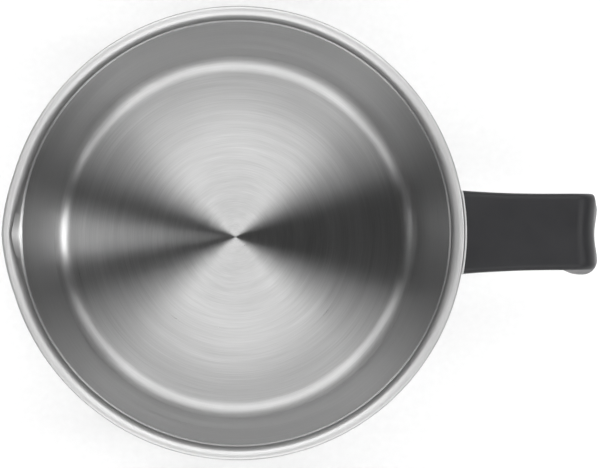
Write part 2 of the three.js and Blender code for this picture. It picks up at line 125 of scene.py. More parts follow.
ARM_DEPTH = 25.7
ARM_HALF_WIDTH = 14.4
ROOT_START = 2                   # how far inside the rim's radius the blank starts
ROOT_FLARE = 1.2
ROOT_FLARE_START, ROOT_FLARE_END = RIM_RADIUS + 1, 118
ARM_SECTIONS, BEND_SECTIONS, GRIP_SECTIONS = 12, 14, 24
END_TURNS = (12, 24, 36, 48, 60, 70, 79, 86)   # degrees round the grip's rounded end
BEND_X = 126.65
BEND_RADIUS = 9
LEAN = math.radians(11.8)        # the grip's lean away from the pot
GRIP_THICKNESS = 16
FINGER_RADIUS = 9
GRIP_END_DROP = 90
GRIP_END_RADIUS = 6
GRIP_SWELL = 2.25
SWELL_SPAN = (0.1, 0.8)          # where along the grip it swells, from the bend at 0
BACK_HOLLOW = 1.1
HALF_FLATS, EDGE_STEPS = 5, 7    # facets over half the back and round an edge
TOP_EDGE, UNDER_EDGE = 2.4, 5    # edge radii of the arm
BACK_EDGE, FRONT_EDGE = 6, 9     # edge radii of the grip
HANDLE_FRONT = 85.95             # the arm's hollow end, around the pot's axis
POCKET_RADIUS = 8.4
POCKET_FLOOR = 123.8
HOLE_REACH = 5                   # how far cutting rods run past what they cut
ROOT_REACH, POCKET_REACH = 15, 40
OVERRUN = 1

THIN_EDGE, PLUG_EDGE = 0.15, 0.25   # widths of broken edges
SADDLE_SHEET = 0.64
SADDLE_CORNER = 4
SADDLE_CORNER_STEPS = 8
SADDLE_BANDS = 48                # bands that bend round the jacket
STUD_RADIUS = 1.9
STUD_OFFSET = 10.6
STUD_TIP = 0.5                   # fillet of a stud's free end
STUD_FACETS, STUD_STEPS = 32, 4

TUBE_BORE = 5.3
GASKET_BORE = 5.4
NUT_LIP = 1.4                    # the part of the nut past the thread
NOTCH_DEPTH, NOTCH_WIDTH = 1.2, 1.6
PLATE_BORE, SPACER_BORE = 0.7, 2.1
TURNED = 0.1                     # fillet of a turned corner
TURNED_STEPS = 3
NUT_EDGE, NUT_CREST = 0.25, 0.35   # fillets of the nut's outside

STEM_RADIUS = 4.6
HEAD_RADIUS = 7.9
STEM_TIP, HEAD_EDGE = 0.6, 0.3   # fillets
HEAD_START = NUT_HIGH.x + CLEARANCE
HEAD_BLANK = 15                  # the head before its back is shaped
PLUG_BORE = 3
PLUG_BORE_END = 119.4
STEAM_RADIUS = 1
RIB_WIDTH = 4.3
RIB_HEIGHT = 0.3
RIB_ROOT = 4                     # how deep the rib's block sits in the head
SLOT_WIDTH, SLOT_LENGTH, SLOT_DEPTH = 2.3, 10.4, 3
GROOVE_DEPTH = 0.9
SEAL_SECTION = 0.5
SEAL_RADIUS = 4.5


# ---- nodes and colours ----

def linear(code):
    """A six-figure sRGB hex colour as linear red, green, blue and alpha."""
    channels = [int(code[i:i + 2], 16) / 255 for i in (0, 2, 4)]
    return [c / 12.92 if c <= 0.04045 else ((c + 0.055) / 1.055) ** 2.4 for c in channels] + [1.0]


def add_node(tree, kind, inputs=(), **settings):
    """Adds a node. Inputs are (socket name or number, value or the socket to link from)."""
    node = tree.nodes.new(kind)
    for key, value in settings.items():
        setattr(node, key, value)
    for key, value in inputs:
        if isinstance(value, bpy.types.NodeSocket):
            tree.links.new(value, node.inputs[key])
        else:
            node.inputs[key].default_value = value
    return node


def new_material(name):
    """An empty material and its node tree."""
    material = bpy.data.materials.new(name)
    material.use_nodes = True
    material.node_tree.nodes.clear()
    return material, material.node_tree


def finish_material(tree, inputs):
    """Adds the shader that every finish of the pot ends in."""
    shader = add_node(tree, "ShaderNodeBsdfPrincipled", inputs, distribution="GGX")
    add_node(tree, "ShaderNodeOutputMaterial", [("Surface", shader.outputs["BSDF"])])


def map_range(tree, value, start, end, low, high, **settings):
    """A value that runs from low at start to high at end."""
    return add_node(tree, "ShaderNodeMapRange", [
        ("Value", value), ("From Min", start), ("From Max", end),
        ("To Min", low), ("To Max", high),
    ], **settings).outputs["Result"]


NOISE_LOW, NOISE_HIGH = 0.25, 0.75   # the part of a noise's range that is used


def blend_range(tree, noise, low, high):
    """A noise stretched to run from low to high."""
    return map_range(tree, noise, NOISE_LOW, NOISE_HIGH, low, high)


MIX_FIRST, MIX_SECOND, MIX_RESULT = 6, 7, 2   # the Mix node's colour sockets


def mix_colours(tree, factor, first, second):
    """A colour that runs from the first hex colour to the second."""
    return add_node(tree, "ShaderNodeMix", [
        ("Factor", factor), (MIX_FIRST, linear(first)), (MIX_SECOND, linear(second)),
    ], data_type="RGBA").outputs[MIX_RESULT]


# ---- materials ----

RIM_ANISOTROPY = 0.1
RIM_ROUGHNESS = 0.44
BUFFED_OVER = 1.5                # millimetres of height over which the rings fade
RING_DEPTH = 0.02                # millimetres
# Fine and broad rings: width in finest rings, patches along a ring, noise detail.
RINGS = ((1, 2.2, 2.0), (7, 0.8, 3.0))
STREAK_STRETCH = 0.06            # a streak's width over its length
STREAK_DEPTH = 0.03              # millimetres
STREAK_SPREAD = 0.06             # of roughness
CLOUD_SIZE = 14                  # millimetres
CLOUD_SPREAD = 0.05              # of roughness


def brushed_metal(name, dark, light, roughness, spread, line,
                  centre=(0, 0, 0), axis=(0, 0, 1), anisotropic=1.0,
                  bump=0.2, grazing="FFFFFF", polished_above=None):
    """Metal brushed or turned round an axis: fine rings that stretch each reflection across them.
    line is the width of the finest ring that is drawn, in millimetres. grazing darkens the metal
    where it is seen edge on and its grooves hide each other. Above polished_above, also in
    millimetres, the rings are buffed away."""
    material, tree = new_material(name)
    place = add_node(tree, "ShaderNodeTexCoord").outputs["Object"]
    local = add_node(tree, "ShaderNodeVectorMath",
                     [(0, place), (1, [c * MM for c in centre])], operation="SUBTRACT").outputs[0]
    around = add_node(tree, "ShaderNodeVectorMath",
                      [(0, axis), (1, local)], operation="CROSS_PRODUCT").outputs[0]
    radius = add_node(tree, "ShaderNodeVectorMath",
                      [(0, around)], operation="LENGTH").outputs["Value"]
    height = add_node(tree, "ShaderNodeVectorMath",
                      [(0, local), (1, axis)], operation="DOT_PRODUCT").outputs["Value"]
    direction = add_node(tree, "ShaderNodeVectorMath",
                         [(0, around)], operation="NORMALIZE").outputs[0]
    along = add_node(tree, "ShaderNodeMath",
                     [(0, radius), (1, height)], operation="ADD").outputs[0]

    rings = []
    for width, arcs, detail in RINGS:
        step = add_node(tree, "ShaderNodeMath", [(0, along), (1, 1 / (line * width * MM))],
                        operation="MULTIPLY").outputs[0]
        sweep = add_node(tree, "ShaderNodeVectorMath", [(0, direction), ("Scale", arcs)],
                         operation="SCALE").outputs[0]
        rings.append(add_node(tree, "ShaderNodeTexNoise", [
            ("Vector", sweep), ("W", step), ("Scale", 1.0), ("Detail", detail), ("Roughness", 0.6),
        ], noise_dimensions="4D").outputs["Fac"])
    fine, broad = rings
    mixed = add_node(tree, "ShaderNodeMath", [(0, fine), (1, broad)], operation="ADD").outputs[0]
    lines = add_node(tree, "ShaderNodeMath",
                     [(0, mixed), (1, 0.5)], operation="MULTIPLY").outputs[0]

    gloss = blend_range(tree, lines, roughness - spread, roughness + spread)
    if polished_above is not None:
        start, end = polished_above * MM, (polished_above + BUFFED_OVER) * MM
        anisotropic = map_range(tree, height, start, end, anisotropic, RIM_ANISOTROPY)
        gloss = map_range(tree, height, start, end, gloss, RIM_ROUGHNESS)

    tangent = add_node(tree, "ShaderNodeVectorTransform", [("Vector", direction)],
                       vector_type="VECTOR", convert_from="OBJECT", convert_to="WORLD").outputs[0]
    bumped = add_node(tree, "ShaderNodeBump", [
        ("Height", fine), ("Strength", bump), ("Distance", RING_DEPTH * MM),
    ]).outputs[0]
    finish_material(tree, [
        ("Base Color", mix_colours(tree, blend_range(tree, lines, 0.0, 1.0), dark, light)),
        ("Metallic", 1.0),
        ("Roughness", gloss),
        ("Specular Tint", linear(grazing)),
        ("Anisotropic", anisotropic),
        ("Anisotropic Rotation", 0.25),
        ("Tangent", tangent),
        ("Normal", bumped),
    ])
    return material


def rolled_metal(name, dark, light, roughness, grain):
    """Rolled plate: short streaks along X. grain is a streak's width in millimetres."""
    material, tree = new_material(name)
    place = add_node(tree, "ShaderNodeTexCoord").outputs["Object"]
    stretched = add_node(tree, "ShaderNodeMapping",
                         [("Vector", place), ("Scale", (STREAK_STRETCH, 1.0, 1.0))]).outputs[0]
    streaks = add_node(tree, "ShaderNodeTexNoise", [
        ("Vector", stretched), ("Scale", 1 / (grain * MM)), ("Detail", 3.0), ("Roughness", 0.6),
    ]).outputs["Fac"]
    bumped = add_node(tree, "ShaderNodeBump", [
        ("Height", streaks), ("Strength", 0.2), ("Distance", STREAK_DEPTH * MM),
    ]).outputs[0]
    finish_material(tree, [
        ("Base Color", mix_colours(tree, blend_range(tree, streaks, 0.0, 1.0), dark, light)),
        ("Metallic", 1.0),
        ("Roughness", blend_range(tree, streaks,
                                  roughness - STREAK_SPREAD, roughness + STREAK_SPREAD)),
        ("Normal", bumped),
    ])
    return material


def moulded(name, dark, light, roughness, grain, depth, ior=1.5):
    """Moulded plastic or rubber: a fine spark-eroded grain, a little cloudiness in its gloss.
    grain is a grain's width and depth its height, in millimetres."""
    material, tree = new_material(name)
    place = add_node(tree, "ShaderNodeTexCoord").outputs["Object"]
    grains = add_node(tree, "ShaderNodeTexNoise", [
        ("Vector", place), ("Scale", 1 / (grain * MM)), ("Detail", 2.0), ("Roughness", 0.5),
    ]).outputs["Fac"]
    clouds = add_node(tree, "ShaderNodeTexNoise", [
        ("Vector", place), ("Scale", 1 / (CLOUD_SIZE * MM)), ("Detail", 3.0), ("Roughness", 0.6),
    ]).outputs["Fac"]
    bumped = add_node(tree, "ShaderNodeBump",
                      [("Height", grains), ("Strength", 0.6), ("Distance", depth * MM)]).outputs[0]
    finish_material(tree, [
        ("Base Color", mix_colours(tree, blend_range(tree, clouds, 0.0, 1.0), dark, light)),
        ("Roughness", blend_range(tree, clouds,
                                  roughness - CLOUD_SPREAD, roughness + CLOUD_SPREAD)),
        ("IOR", ior),
        ("Normal", bumped),
    ])
    return material


TUBE_CENTRE = (0, 0, TUBE_Z)

# Stainless sheet brushed on a lathe: fine rings, each reflection drawn out into a bright fan.
liner_steel = brushed_metal("stainless_brushed_liner", "B4B4B4", "D4D4D4", 0.30, 0.04, 0.45,
                            bump=0.5, grazing="707070", polished_above=CREASE_Z)
# The same sheet on the outside, with a slightly coarser belt finish round the wall.
jacket_steel = brushed_metal("stainless_brushed_jacket", "BABABA", "CBCBCB", 0.36, 0.05, 0.5,
                             anisotropic=0.8)
# Magnetic stainless, turned on its face: greyer, with the tool's rings showing.
base_steel = brushed_metal("stainless_turned_base", "A9A9A9", "BFBFBF", 0.38, 0.06, 0.6,
                           anisotropic=0.7, bump=0.3)
# Aluminium plate as rolled: matt, with short streaks.
core_aluminium = rolled_metal("aluminium_rolled_plate", "B4B6B9", "C8CACC", 0.45, 0.4)
# Bright-turned stainless fittings: close rings, a crisp reflection.
fitting_steel = brushed_metal("stainless_bright_turned", "C4C4C4", "D7D7D7", 0.22, 0.04, 0.15,
                              centre=TUBE_CENTRE, axis=(1, 0, 0), anisotropic=0.5, bump=0.15)
# Stainless sheet bent round the jacket, polished on its edges.
plate_steel = brushed_metal("stainless_polished_plate", "DADADA", "E6E6E6", 0.36, 0.04, 0.3,
                            anisotropic=0.0, bump=0.1)
# Phenolic handle, compression moulded: black, satin, with a very fine grain.
handle_black = moulded("phenolic_moulded_handle", "232325", "28282A", 0.42, 0.3, 0.02,
                       ior=1.33)
# The plug is nylon from its own mould: as black, a little glossier.
plug_black = moulded("nylon_moulded_plug", "151517", "1A1A1C", 0.36, 0.22, 0.012)
# Silicone rubber rings: matt red-brown.
seal_silicone = moulded("silicone_moulded_seal", "7E3226", "8E3D2E", 0.58, 0.15, 0.01, ior=1.42)


# ---- outlines ----

def unit(vector):
    """A flat vector made one long."""
    length = math.hypot(*vector)
    return vector[0] / length, vector[1] / length


def rounded(outline, steps, closed=False):
    """Points of an outline of (x, y, fillet radius) corners, each corner rounded in steps."""
    points = []
    count = len(outline)
    for i, (x, y, radius) in enumerate(outline):
        is_end = not closed and i in (0, count - 1)
        if is_end or radius == 0:
            points.append((x, y))
            continue
        before = outline[i - 1]
        after = outline[(i + 1) % count]
        to_before = unit((before[0] - x, before[1] - y))
        to_after = unit((after[0] - x, after[1] - y))
        cosine = to_before[0] * to_after[0] + to_before[1] * to_after[1]
        half = math.acos(max(-1, min(1, cosine))) / 2
        reach = radius / math.tan(half)
        middle = unit((to_before[0] + to_after[0], to_before[1] + to_after[1]))
        centre = (x + middle[0] * radius / math.sin(half), y + middle[1] * radius / math.sin(half))
        start = (x + to_before[0] * reach - centre[0], y + to_before[1] * reach - centre[1])
        end = (x + to_after[0] * reach - centre[0], y + to_after[1] * reach - centre[1])
        turn = math.pi - 2 * half
        for step in range(steps + 1):
            part = step / steps
            first = math.sin((1 - part) * turn) / math.sin(turn)
            second = math.sin(part * turn) / math.sin(turn)
            points.append((centre[0] + start[0] * first + end[0] * second,
                           centre[1] + start[1] * first + end[1] * second))
    return points


# ---- shapes ----

def turned(profile, closed=False, steps=AROUND_POT):
    """A profile of (radius, height) points spun about the Z axis."""
    bm = bmesh.new()
    verts = [bm.verts.new((radius, 0, height)) for radius, height in profile]
    edges = [bm.edges.new(pair) for pair in zip(verts, verts[1:])]
    if closed:
        edges.append(bm.edges.new((verts[-1], verts[0])))
    bmesh.ops.spin(bm, geom=verts + edges, cent=(0, 0, 0), axis=(0, 0, 1), angle=2 * math.pi,
                   steps=steps, use_merge=True)
    bmesh.ops.remove_doubles(bm, verts=bm.verts, dist=MERGED)
    bmesh.ops.recalc_face_normals(bm, faces=bm.faces)
    return bm


def turned_on_tube(profile, closed=False, steps=AROUND_FITTING):
    """The same about the filler tube's axis, where heights run along +X."""
    bm = turned(profile, closed, steps)
    bmesh.ops.rotate(bm, verts=bm.verts, cent=(0, 0, 0),
                     matrix=Matrix.Rotation(math.pi / 2, 3, "Y"))
    bmesh.ops.translate(bm, verts=bm.verts, vec=(0, 0, TUBE_Z))
    return bm


def washer(inner, outer, start, end, edge=0.12):
    """A flat ring on the tube's axis, with its edges broken."""
    outline = [(inner, start, edge), (outer, start, edge), (outer, end, edge), (inner, end, edge)]
    return turned_on_tube(rounded(outline, WASHER_STEPS, closed=True), closed=True)


def rod(radius, start, end, y=0, z=TUBE_Z, steps=AROUND_FITTING):
    """A cylinder along X."""
    bm = bmesh.new()
    place = Matrix.Translation(((start + end) / 2, y, z)) @ Matrix.Rotation(math.pi / 2, 4, "Y")
    bmesh.ops.create_cone(bm, cap_ends=True, segments=steps, radius1=radius, radius2=radius,
                          depth=end - start, matrix=place)
    return bm


def tube_hole():
    """A rod that cuts the filler tube's hole through the sheets at the pot's side."""
    return rod(TUBE_RADIUS + CLEARANCE, RIM_RADIUS - HOLE_REACH, RIM_RADIUS + HOLE_REACH)


def block(size, centre):
    """A box."""
    bm = bmesh.new()
    bmesh.ops.create_cube(bm, size=1,
                          matrix=Matrix.Translation(centre) @ Matrix.Diagonal((*size, 1)))
    return bm


def onto_back(bm):
    """Moves a shape drawn about the origin to the handle's back, at the tube's height."""
    bend_end_x = BEND_X + BEND_RADIUS * math.cos(LEAN)
    bend_end_z = ARM_HIGH.z - BEND_RADIUS * (1 - math.sin(LEAN))
    back_x = bend_end_x - BACK_HOLLOW + (bend_end_z - TUBE_Z) * math.tan(LEAN)
    bmesh.ops.rotate(bm, verts=bm.verts, cent=(0, 0, 0), matrix=Matrix.Rotation(-LEAN, 3, "Y"))
    bmesh.ops.translate(bm, verts=bm.verts, vec=(back_x, 0, TUBE_Z))
    return bm


def loose_object(bm):
    """An object for carving with, which is thrown away afterwards."""
    mesh = bpy.data.meshes.new("work")
    bm.to_mesh(mesh)
    bm.free()
    piece = bpy.data.objects.new("work", mesh)
    bpy.context.scene.collection.objects.link(piece)
    return piece


def carved(bm, *changes):
    """Joins, trims or cuts a solid. A change is "UNION", "INTERSECT" or "DIFFERENCE" and the
    other solid."""
    target = loose_object(bm)
    tools = []
    for operation, tool in changes:
        tools.append(loose_object(tool))
        modifier = target.modifiers.new("carve", "BOOLEAN")
        modifier.operation = operation
        modifier.solver = "EXACT"
        modifier.object = tools[-1]
    bpy.context.view_layer.update()
    shape = target.evaluated_get(bpy.context.evaluated_depsgraph_get())
    result = bmesh.new()
    result.from_mesh(shape.to_mesh())
    shape.to_mesh_clear()
    for piece in [target, *tools]:
        mesh = piece.data
        bpy.data.objects.remove(piece)
        bpy.data.meshes.remove(mesh)
    bmesh.ops.remove_doubles(result, verts=result.verts, dist=MERGED_CUT)
    return result


def form_lip(bm, shares):
    """Moves a turned sheet outwards at the lip. shares(radius, z) gives how much of the wide
    swelling, of the V fold and of the facets a point takes."""
    for vert in bm.verts:
        radius = math.hypot(vert.co.x, vert.co.y)
        if radius < WALL_FOOT - FLOOR_FILLET:
            continue
        angle = math.degrees(math.atan2(vert.co.y, -vert.co.x))
        swelling = LIP_BULGE * math.exp(-0.5 * (angle / LIP_BULGE_ANGLE) ** 2)
        fold = LIP_FOLD * max(0, 1 - abs(angle) / LIP_FOLD_ANGLE)
        facet = LIP_FACET * max(0, 1 - abs(angle) / LIP_FACET_ANGLE)
        swell_share, fold_share, facet_share = shares(radius, vert.co.z)
        grown = 1 + (swelling * swell_share + fold * fold_share + facet * facet_share) / radius
        vert.co.x *= grown
        vert.co.y *= grown


def smoothstep(value, low, high):
    """Rises smoothly from 0 at low to 1 at high."""
    part = max(0, min(1, (value - low) / (high - low)))
    return part * part * (3 - 2 * part)


CREASE_ANGLE = 38                # degrees, past which shading shows a crease
BROKEN_ANGLE = 40                # degrees, past which an edge is broken


def finish(name, bm, body, material, replaced, edge=0):
    """Makes a piece of a shape: metres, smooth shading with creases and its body."""
    bmesh.ops.scale(bm, vec=(MM, MM, MM), verts=bm.verts)
    for face in bm.faces:
        face.smooth = True
    for bm_edge in bm.edges:
        bm_edge.smooth = bm_edge.calc_face_angle(0) < math.radians(CREASE_ANGLE)
    mesh = bpy.data.meshes.new(name)
    bm.to_mesh(mesh)
    bm.free()
    mesh.materials.append(material)
    piece = bpy.data.objects.new(name, mesh)
    bpy.context.scene.collection.objects.link(piece)
    if edge:
        bevel = piece.modifiers.new("broken_edges", "BEVEL")
        bevel.width = edge * MM
        bevel.segments = 2
        bevel.limit_method = "ANGLE"
        bevel.angle_limit = math.radians(BROKEN_ANGLE)
    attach(piece, body)
    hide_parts(*replaced)


# ---- pot ----

def levels(low, high, count):
    """The values between low and high that part them into count equal bands."""
    return [low + (high - low) * i / count for i in range(1, count)]


def make_liner():
    """The pressed bowl: floor, tapered wall, step, flared rim and the hem turned down round it."""
    def wall(z):
        return WALL_FOOT + (CREASE - WALL_FOOT) * (z - FLOOR_Z) / (CREASE_Z - FLOOR_Z)

    wall_z = [LIP_START_Z] + levels(LIP_START_Z, LIP_BANDS_END_Z, WALL_BANDS)
    neck = CREASE + STEP
    outline = [
        (0, FLOOR_Z - SHEET, 0),
        (WALL_FOOT + SHEET, FLOOR_Z - SHEET, FLOOR_FILLET + SHEET),
    ]
    outline += [(wall(z) + SHEET, z, 0) for z in wall_z]
    outline += [
        (CREASE + SHEET, CREASE_Z - STEP / 2, BROKEN),
        (neck + SHEET, CREASE_Z + STEP / 2, BROKEN),
        (neck + SHEET + FLARE_DRAFT, TOP - SHEET, FLARE_FILLET - SHEET),
        (RIM_RADIUS - SHEET, TOP - SHEET, RIM_INNER_FILLET),
        (RIM_RADIUS - SHEET, HEM_Z, BROKEN),
        (RIM_RADIUS, HEM_Z, PRESSED),
        (RIM_RADIUS, TOP, RIM_FILLET),
        (neck + FLARE_DRAFT, TOP, FLARE_FILLET),
        (neck, CREASE_Z + STEP, STEP_FILLET),
        (CREASE, CREASE_Z, PRESSED),
    ]
    outline += [(wall(z), z, 0) for z in reversed(wall_z)]
    outline += [(WALL_FOOT, FLOOR_Z, FLOOR_FILLET), (0, FLOOR_Z, 0)]
    bm = turned(rounded(outline, PRESSED_STEPS))

    def shares(radius, z):
        if radius > FLARE_CENTRE:
            return 1, 1, 0
        raised = max(0, min(1, (z - LIP_START_Z) / (FLARE_FOOT_Z - LIP_START_Z)))
        crease_top = CREASE_Z + STEP
        facet_share = min((z - crease_top) / (FLARE_FOOT_Z - crease_top), (TOP - z) / FLARE_FILLET)
        return raised ** LIP_CURVE, smoothstep(z, CREASE_Z, FLARE_FOOT_Z), max(0, facet_share)

    form_lip(bm, shares)
    finish("bowl_liner", bm, "pot", liner_steel, ["inner_bowl"])


def make_jacket():
    """The outer wall and bottom, with its neck tucked up into the hem."""
    bottom = JACKET_LOW.z
    inside = RIM_RADIUS - JACKET_SHEET
    neck_inside = NECK - JACKET_SHEET
    wall_z = [LIP_START_Z] + levels(LIP_START_Z, LIP_BANDS_END_Z, JACKET_BANDS)
    outline = [(0, bottom, 0), (RIM_RADIUS, bottom, JACKET_FILLET)]
    outline += [(RIM_RADIUS, z, 0) for z in wall_z]
    outline += [
        (RIM_RADIUS, CREASE_Z, RIM_INNER_FILLET),
        (NECK, CREASE_Z + 2 * NECK_SET, NECK_FILLET),
        (NECK, NECK_Z, BROKEN),
        (neck_inside, NECK_Z, BROKEN),
        (neck_inside, CREASE_Z + NECK_SET, NECK_FILLET),
        (inside, CREASE_Z - NECK_SET, NECK_FILLET),
    ]
    outline += [(inside, z, 0) for z in reversed(wall_z)]
    outline += [
        (inside, bottom + JACKET_SHEET, JACKET_FILLET - JACKET_SHEET),
        (0, bottom + JACKET_SHEET, 0),
    ]
    bm = turned(rounded(outline, PRESSED_STEPS))

    def shares(radius, z):
        share = smoothstep(z, LIP_START_Z, CREASE_Z)
        return share, share, 0

    form_lip(bm, shares)
    bm = carved(bm, ("DIFFERENCE", tube_hole()))
    finish("jacket_wall", bm, "pot", jacket_steel, ["outer_shell"])


def make_base_cap():
    """The shallow cap under the heat-spreading disc."""
    inner = CAP_HIGH.y - CAP_SHEET
    outline = [
        (0, 0, 0),
        (CAP_HIGH.y, 0, CAP_CORNER),
        (CAP_HIGH.y, CAP_HIGH.z, BROKEN),
        (inner, CAP_HIGH.z, BROKEN),
        (inner, CAP_SHEET, CAP_CORNER - CAP_SHEET),
        (0, CAP_SHEET, 0),
    ]
    bm = turned(rounded(outline, CAP_STEPS))
    finish("spreader_cap", bm, "pot", base_steel, ["base_cap"])


# ---- handle ----

def arc_point(centre, radius, part):
    """A point on the bend, from pointing up at 0 to the grip's lean at 1."""
    angle = math.pi / 2 + (LEAN - math.pi / 2) * part
    return Vector((centre[0] + radius * math.cos(angle), centre[1] + radius * math.sin(angle)))


def handle_stations():
    """Sections along the handle: outside point, inside point, half width, hollow and the edge
    radii of its two sides."""
    top = ARM_HIGH.z
    under = top - ARM_DEPTH
    start = RIM_RADIUS - ROOT_START
    back_z = TOP - GRIP_END_DROP
    bend = (BEND_X, top - BEND_RADIUS)
    bend_end = arc_point(bend, BEND_RADIUS, 1)
    back_end = Vector((bend_end.x + (bend_end.y - back_z) * math.tan(LEAN), back_z))
    inwards = Vector((-math.cos(LEAN), -math.sin(LEAN)))
    front_end = back_end + inwards * GRIP_THICKNESS
    finger_z = under - FINGER_RADIUS
    finger_end_z = finger_z + FINGER_RADIUS * math.sin(LEAN)
    finger_end_x = front_end.x - (finger_end_z - front_end.y) * math.tan(LEAN)
    finger = (finger_end_x - FINGER_RADIUS * math.cos(LEAN), finger_z)
    finger_end = arc_point(finger, FINGER_RADIUS, 1)

    stations = []
    for part in [i / ARM_SECTIONS for i in range(ARM_SECTIONS)]:
        outer = Vector((start + (BEND_X - start) * part, top))
        inner = Vector((start + (finger[0] - start) * part, under))
        flare = max(0, (ROOT_FLARE_END - outer.x) / (ROOT_FLARE_END - ROOT_FLARE_START))
        half_width = ARM_HALF_WIDTH + ROOT_FLARE * flare ** 2
        stations.append((outer, inner, half_width, 0, TOP_EDGE, UNDER_EDGE))
    for part in [i / BEND_SECTIONS for i in range(BEND_SECTIONS)]:
        outer = arc_point(bend, BEND_RADIUS, part)
        inner = arc_point(finger, FINGER_RADIUS, part)
        stations.append((outer, inner, ARM_HALF_WIDTH, BACK_HOLLOW * part, TOP_EDGE, UNDER_EDGE))
    for part in [i / GRIP_SECTIONS for i in range(GRIP_SECTIONS + 1)]:
        swell = smoothstep(part, *SWELL_SPAN)
        stations.append((
            bend_end.lerp(back_end, part), finger_end.lerp(front_end, part),
            ARM_HALF_WIDTH + GRIP_SWELL * swell, BACK_HOLLOW,
            TOP_EDGE + (BACK_EDGE - TOP_EDGE) * swell,
            UNDER_EDGE + (FRONT_EDGE - UNDER_EDGE) * swell,
        ))
    down = Vector((math.sin(LEAN), -math.cos(LEAN)))
    for turn in [math.radians(angle) for angle in END_TURNS]:
        inset = GRIP_END_RADIUS * (1 - math.cos(turn))
        drop = down * GRIP_END_RADIUS * math.sin(turn)
        shrink = 1 - inset / (GRIP_THICKNESS / 2)
        stations.append((
            back_end + drop + inwards * inset, front_end + drop - inwards * inset,
            ARM_HALF_WIDTH + GRIP_SWELL - inset, BACK_HOLLOW * math.cos(turn),
            BACK_EDGE * shrink, FRONT_EDGE * shrink,
        ))
    return stations


def section_ring(bm, outer, inner, half_width, hollow, outer_radius, inner_radius):
    """A closed loop of edges round one section of the handle."""
    thickness = (inner - outer).length
    along = (inner - outer) / thickness
    flat = half_width - outer_radius
    across = [i / HALF_FLATS for i in range(HALF_FLATS)]
    half = [(hollow * (1 - part ** 2) ** 2, flat * part) for part in across]
    corner = [(0, flat, 0), (0, half_width, outer_radius), (thickness, half_width, inner_radius),
              (thickness, 0, 0)]
    half += rounded(corner, EDGE_STEPS)
    points = half + [(depth, -width) for depth, width in reversed(half[1:-1])]
    verts = [bm.verts.new((outer.x + along.x * depth, width, outer.y + along.y * depth))
             for depth, width in points]
    return [bm.edges.new((verts[i - 1], verts[i])) for i in range(len(verts))]


def handle_blank():
    """The handle's outside shape, before its holes."""
    bm = bmesh.new()
    rings = [section_ring(bm, *station) for station in handle_stations()]
    for before, after in zip(rings, rings[1:]):
        bmesh.ops.bridge_loops(bm, edges=before + after)
    for end in (rings[0], rings[-1]):
        bmesh.ops.contextual_create(bm, geom=end)
    bmesh.ops.recalc_face_normals(bm, faces=bm.faces)
    return bm


def pot_side(radius):
    """An upright cylinder round the pot's axis, for cutting."""
    bm = bmesh.new()
    bmesh.ops.create_cone(bm, cap_ends=True, segments=AROUND_POT, radius1=radius, radius2=radius,
                          depth=TOP, matrix=Matrix.Translation((0, 0, TUBE_Z)))
    return bm


def make_handle():
    """The moulded handle with the tube's hole, the plug's pocket and the two stud holes."""
    stud_end = corners("locating_stud_left")[1].x + CLEARANCE
    root = RIM_RADIUS - ROOT_REACH
    stud_bores = [rod(STUD_RADIUS + CLEARANCE, root, stud_end, side * STUD_OFFSET,
                      steps=STUD_FACETS) for side in (1, -1)]
    bm = carved(
        handle_blank(),
        ("DIFFERENCE", pot_side(HANDLE_FRONT)),
        ("DIFFERENCE", rod(TUBE_RADIUS + CLEARANCE, root, POCKET_FLOOR + OVERRUN)),
        ("DIFFERENCE", rod(POCKET_RADIUS, POCKET_FLOOR, POCKET_FLOOR + POCKET_REACH)),
        *[("DIFFERENCE", bore) for bore in stud_bores],
    )
    finish("handle_grip", bm, "pot", handle_black, ["handle_body"],
           edge=THIN_EDGE)


def make_saddle():
    """A flat plate with two rounded corners, wrapped round the jacket and thickened inwards."""
    outer = SADDLE_HIGH.x
    half_width = SADDLE_HIGH.y
    bm = bmesh.new()
    middle_z = (SADDLE_LOW.z + SADDLE_HIGH.z) / 2
    half_height = (SADDLE_HIGH.z - SADDLE_LOW.z) / 2
    place = Matrix.Translation((outer, 0, middle_z)) @ Matrix.Rotation(math.pi / 2, 4, "Y")
    bmesh.ops.create_grid(bm, x_segments=1, y_segments=1, size=1,
                          matrix=place @ Matrix.Diagonal((half_height, half_width, 1, 1)))
    lower = [vert for vert in bm.verts if vert.co.z < middle_z]
    bmesh.ops.bevel(bm, geom=lower, offset=SADDLE_CORNER, segments=SADDLE_CORNER_STEPS,
                    profile=0.5, affect="VERTICES", material=-1)
    for y in levels(-half_width, half_width, SADDLE_BANDS):
        bmesh.ops.bisect_plane(bm, geom=bm.verts[:] + bm.edges[:] + bm.faces[:], dist=MERGED,
                               plane_co=(0, y, 0), plane_no=(0, 1, 0))
    for vert in bm.verts:
        angle = math.asin(vert.co.y / outer)
        vert.co.x, vert.co.y = outer * math.cos(angle), outer * math.sin(angle)
    bm.normal_update()
    inwards = [face for face in bm.faces if face.normal.x < 0]
    bmesh.ops.reverse_faces(bm, faces=inwards)
    bmesh.ops.solidify(bm, geom=bm.faces[:], thickness=SADDLE_SHEET)
    bmesh.ops.recalc_face_normals(bm, faces=bm.faces)
    bm = carved(bm, ("DIFFERENCE", tube_hole()))
    finish("saddle_sheet", bm, "pot", plate_steel, ["saddle_plate"],
           edge=THIN_EDGE)


def make_studs():
    """The two studs on the saddle that keep the handle from turning."""
    for side in ("left", "right"):
        node = f"locating_stud_{side}"
        low, high = corners(node)
        outline = [
            (0, low.x, 0),
            (STUD_RADIUS, low.x, BROKEN),
            (STUD_RADIUS, high.x, STUD_TIP),
            (0, high.x, 0),
        ]
        bm = turned_on_tube(rounded(outline, STUD_STEPS), steps=STUD_FACETS)
        bmesh.ops.translate(bm, verts=bm.verts, vec=(0, (low.y + high.y) / 2, 0))
        finish(f"saddle_stud_{side}", bm, "pot", fitting_steel, [node])


# ---- filler tube's end ----

